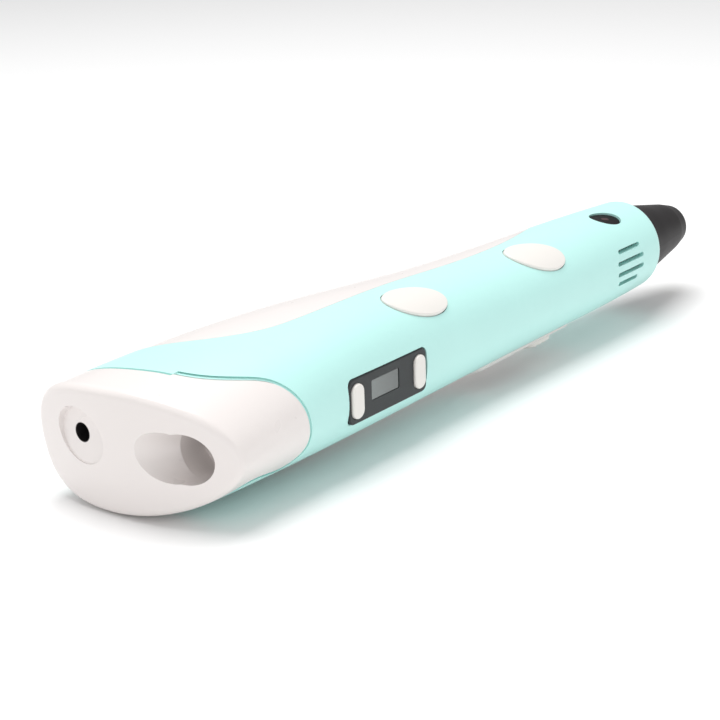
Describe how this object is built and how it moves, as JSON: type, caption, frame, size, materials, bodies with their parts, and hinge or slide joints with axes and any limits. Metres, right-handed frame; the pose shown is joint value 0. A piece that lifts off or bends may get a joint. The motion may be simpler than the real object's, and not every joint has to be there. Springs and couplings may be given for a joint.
{
  "type": "3d printing pen",
  "caption": "Handheld 3D printing pen with a turquoise body, white grip cover and tail cap, small temperature display, feed and retract buttons and a black nose around a metal nozzle.",
  "frame": {"origin": "centre of the nozzle's tip face", "axes": "+X along the nozzle axis from the tip towards the tail, +Y towards the side with the display, +Z towards the side with the two push buttons"},
  "size_m": [0.184, 0.0435, 0.0294],
  "materials": {
    "turquoise_shell": "satin moulding",
    "white_shell": "semi-gloss moulding",
    "white_keys": "semi-gloss moulding",
    "black_nose": "satin, fine grain",
    "red_mark": "printed mark",
    "bezel_black": "satin",
    "lcd_glass": "glossy window",
    "lcd_body": "satin",
    "board_green": "solder resist",
    "chip_black": "moulded epoxy",
    "switch_black": "satin",
    "plunger": "satin",
    "brass_nozzle": "turned",
    "steel": "turned",
    "ceramic_body": "fired",
    "copper_winding": "wound resistance wire",
    "glass_sleeve": "woven glass",
    "ptfe": "waxy translucent",
    "acetal": "machined",
    "holder_black": "heat-resistant moulding",
    "gear_brass": "hobbed",
    "motor_steel": "drawn can",
    "motor_end": "moulded",
    "screw_zinc": "plated",
    "capacitor_can": "sleeved can",
    "ferrite": "sintered",
    "jack_black": "moulded",
    "wire_red": "silicone insulation"
  },
  "bodies": {
    "casing": {"main_shell": "turquoise_shell", "side_cover": "white_shell", "rear_cap": "white_shell", "nose_cone": "black_nose", "feed_switch": "switch_black", "retract_switch": "switch_black", "button_board": "board_green", "display_bezel": "bezel_black", "display_window": "lcd_glass", "lcd_module": "lcd_body", "panel_switches": "switch_black", "slider_plate": "white_shell", "slide_potentiometer": "jack_black", "nozzle": "brass_nozzle", "heater_barrel": "steel", "heater_winding": "copper_winding", "insulation_sleeve": "glass_sleeve", "heat_break": "steel", "thermistor": "ceramic_body", "nozzle_holder": "turquoise_shell", "filament_guide_tube": "holder_black", "liner_tube": "ptfe", "feed_block": "acetal", "bearing_plate": "acetal", "idler_pin": "steel", "gear_bracket": "holder_black", "gearbox_housing": "motor_steel", "motor_can": "motor_steel", "motor_end_cap": "motor_end", "tube_clip": "holder_black", "drive_screws": "screw_zinc", "main_board": "board_green", "board_screws": "screw_zinc", "control_chip": "chip_black", "filter_capacitor": "capacitor_can", "power_coil": "ferrite", "dc_jack": "jack_black", "dc_jack_pin": "steel", "heater_leads": "wire_red"},
    "nose_latch_body": {"nose_latch": "black_nose", "latch_mark": "red_mark"},
    "feed_button_body": {"feed_button": "white_keys", "feed_plunger": "plunger"},
    "retract_button_body": {"retract_button": "white_keys", "retract_plunger": "plunger"},
    "temp_up_body": {"temp_up_key": "white_keys", "temp_up_plunger": "plunger"},
    "temp_down_body": {"temp_down_key": "white_keys", "temp_down_plunger": "plunger"},
    "speed_slider_body": {"speed_slider_knob": "white_keys"},
    "motor_output_body": {"gearbox_shaft": "steel", "drive_pinion": "acetal"},
    "feed_screw_body": {"feed_screw": "steel", "feed_gear": "gear_brass"},
    "idler_body": {"idler_bearing": "steel"}
  },
  "joints": [
    {"name": "nose_latch_press", "type": "slide", "parent": "casing", "child": "nose_latch_body", "axis": [0, -0.3903, -0.9207], "range_m": [0, 0.0007], "stiffness_N_per_m": 900},
    {"name": "feed_button_press", "type": "slide", "parent": "casing", "child": "feed_button_body", "axis": [0.0287, -0.62, -0.784], "range_m": [0, 0.0006], "stiffness_N_per_m": 1500},
    {"name": "retract_button_press", "type": "slide", "parent": "casing", "child": "retract_button_body", "axis": [0.0287, -0.62, -0.784], "range_m": [0, 0.0006], "stiffness_N_per_m": 1500},
    {"name": "temp_up_press", "type": "slide", "parent": "casing", "child": "temp_up_body", "axis": [0.037, -0.9993, 0], "range_m": [0, 0.0004], "stiffness_N_per_m": 1500},
    {"name": "temp_down_press", "type": "slide", "parent": "casing", "child": "temp_down_body", "axis": [0.037, -0.9993, 0], "range_m": [0, 0.0004], "stiffness_N_per_m": 1500},
    {"name": "speed_slide", "type": "slide", "parent": "casing", "child": "speed_slider_body", "axis": [0.9995, 0.0109, -0.0301], "range_m": [-0.0042, 0.017]},
    {"name": "motor_output_spin", "type": "hinge", "parent": "casing", "child": "motor_output_body", "pos_m": [0.09853, 0.0017, -0.00425], "axis": [0.991, -0.1333, -0.0094], "continuous": true},
    {"name": "feed_screw_spin", "type": "hinge", "parent": "casing", "child": "feed_screw_body", "pos_m": [0.08818, -0.00044, -0.00098], "axis": [0.991, -0.1333, -0.0094], "continuous": true},
    {"name": "idler_spin", "type": "hinge", "parent": "casing", "child": "idler_body", "pos_m": [0.08732, -0.00701, 0.00045], "axis": [0.0372, 0.2078, 0.9775], "continuous": true}
  ],
  "couplings": [
    {"joint": "feed_screw_spin", "follows": "motor_output_spin", "ratio": -1.4545}
  ]
}
